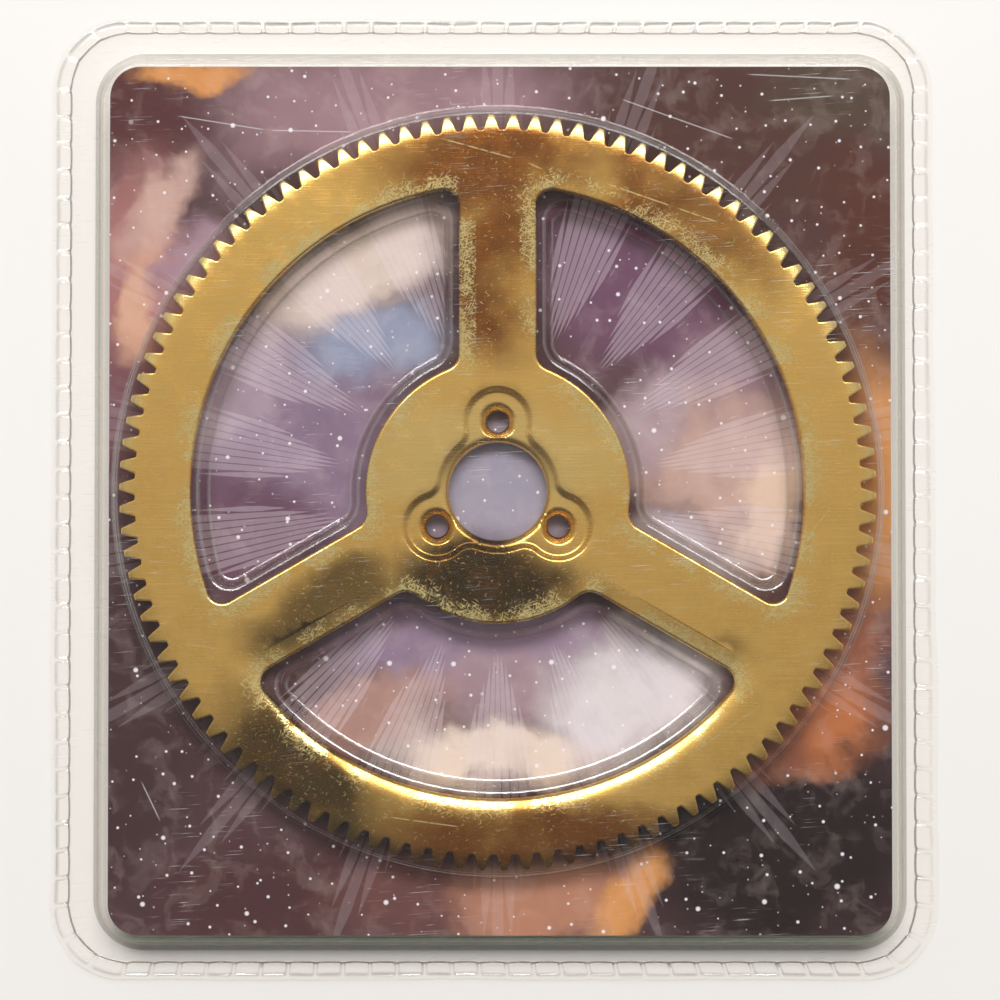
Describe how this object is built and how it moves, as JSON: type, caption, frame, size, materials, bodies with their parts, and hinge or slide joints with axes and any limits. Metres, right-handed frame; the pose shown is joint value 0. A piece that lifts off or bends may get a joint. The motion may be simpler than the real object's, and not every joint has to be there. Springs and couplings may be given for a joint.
{
  "type": "packaged spur gear wheel",
  "caption": "Spoked spur gear wheel with a round bore and countersunk hub screw holes, packed on a printed card between two clear blister shells that lift apart.",
  "frame": {"origin": "on the axis of the gear's bore, in the plane of the gear's back face, which lies on the card", "axes": "+Z along the bore axis, out through the front shell; +Y towards the top edge of the card; +X to the right seen from the front"},
  "size_m": [0.1036, 0.1123, 0.0083],
  "materials": {
    "gear_brass": "brushed brass with fine handling scratches",
    "printed_card": "satin printed card, star cloud pattern with pale striped rays",
    "clear_front": "clear vacuum-formed sheet, glossy",
    "clear_rear": "clear vacuum-formed sheet, glossy"
  },
  "bodies": {
    "rear_shell": {"rear_blister": "clear_rear"},
    "card": {"backing_card": "printed_card"},
    "gear": {"gear_wheel": "gear_brass"},
    "front_shell": {"front_blister": "clear_front"}
  },
  "joints": [
    {"name": "card_lift", "type": "slide", "parent": "rear_shell", "child": "card", "axis": [0, 0, 1], "range_m": [0, 0.02]},
    {"name": "gear_lift", "type": "slide", "parent": "card", "child": "gear", "axis": [0, 0, 1], "range_m": [0, 0.03]},
    {"name": "front_blister_lift", "type": "slide", "parent": "gear", "child": "front_shell", "axis": [0, 0, 1], "range_m": [0, 0.06]}
  ]
}
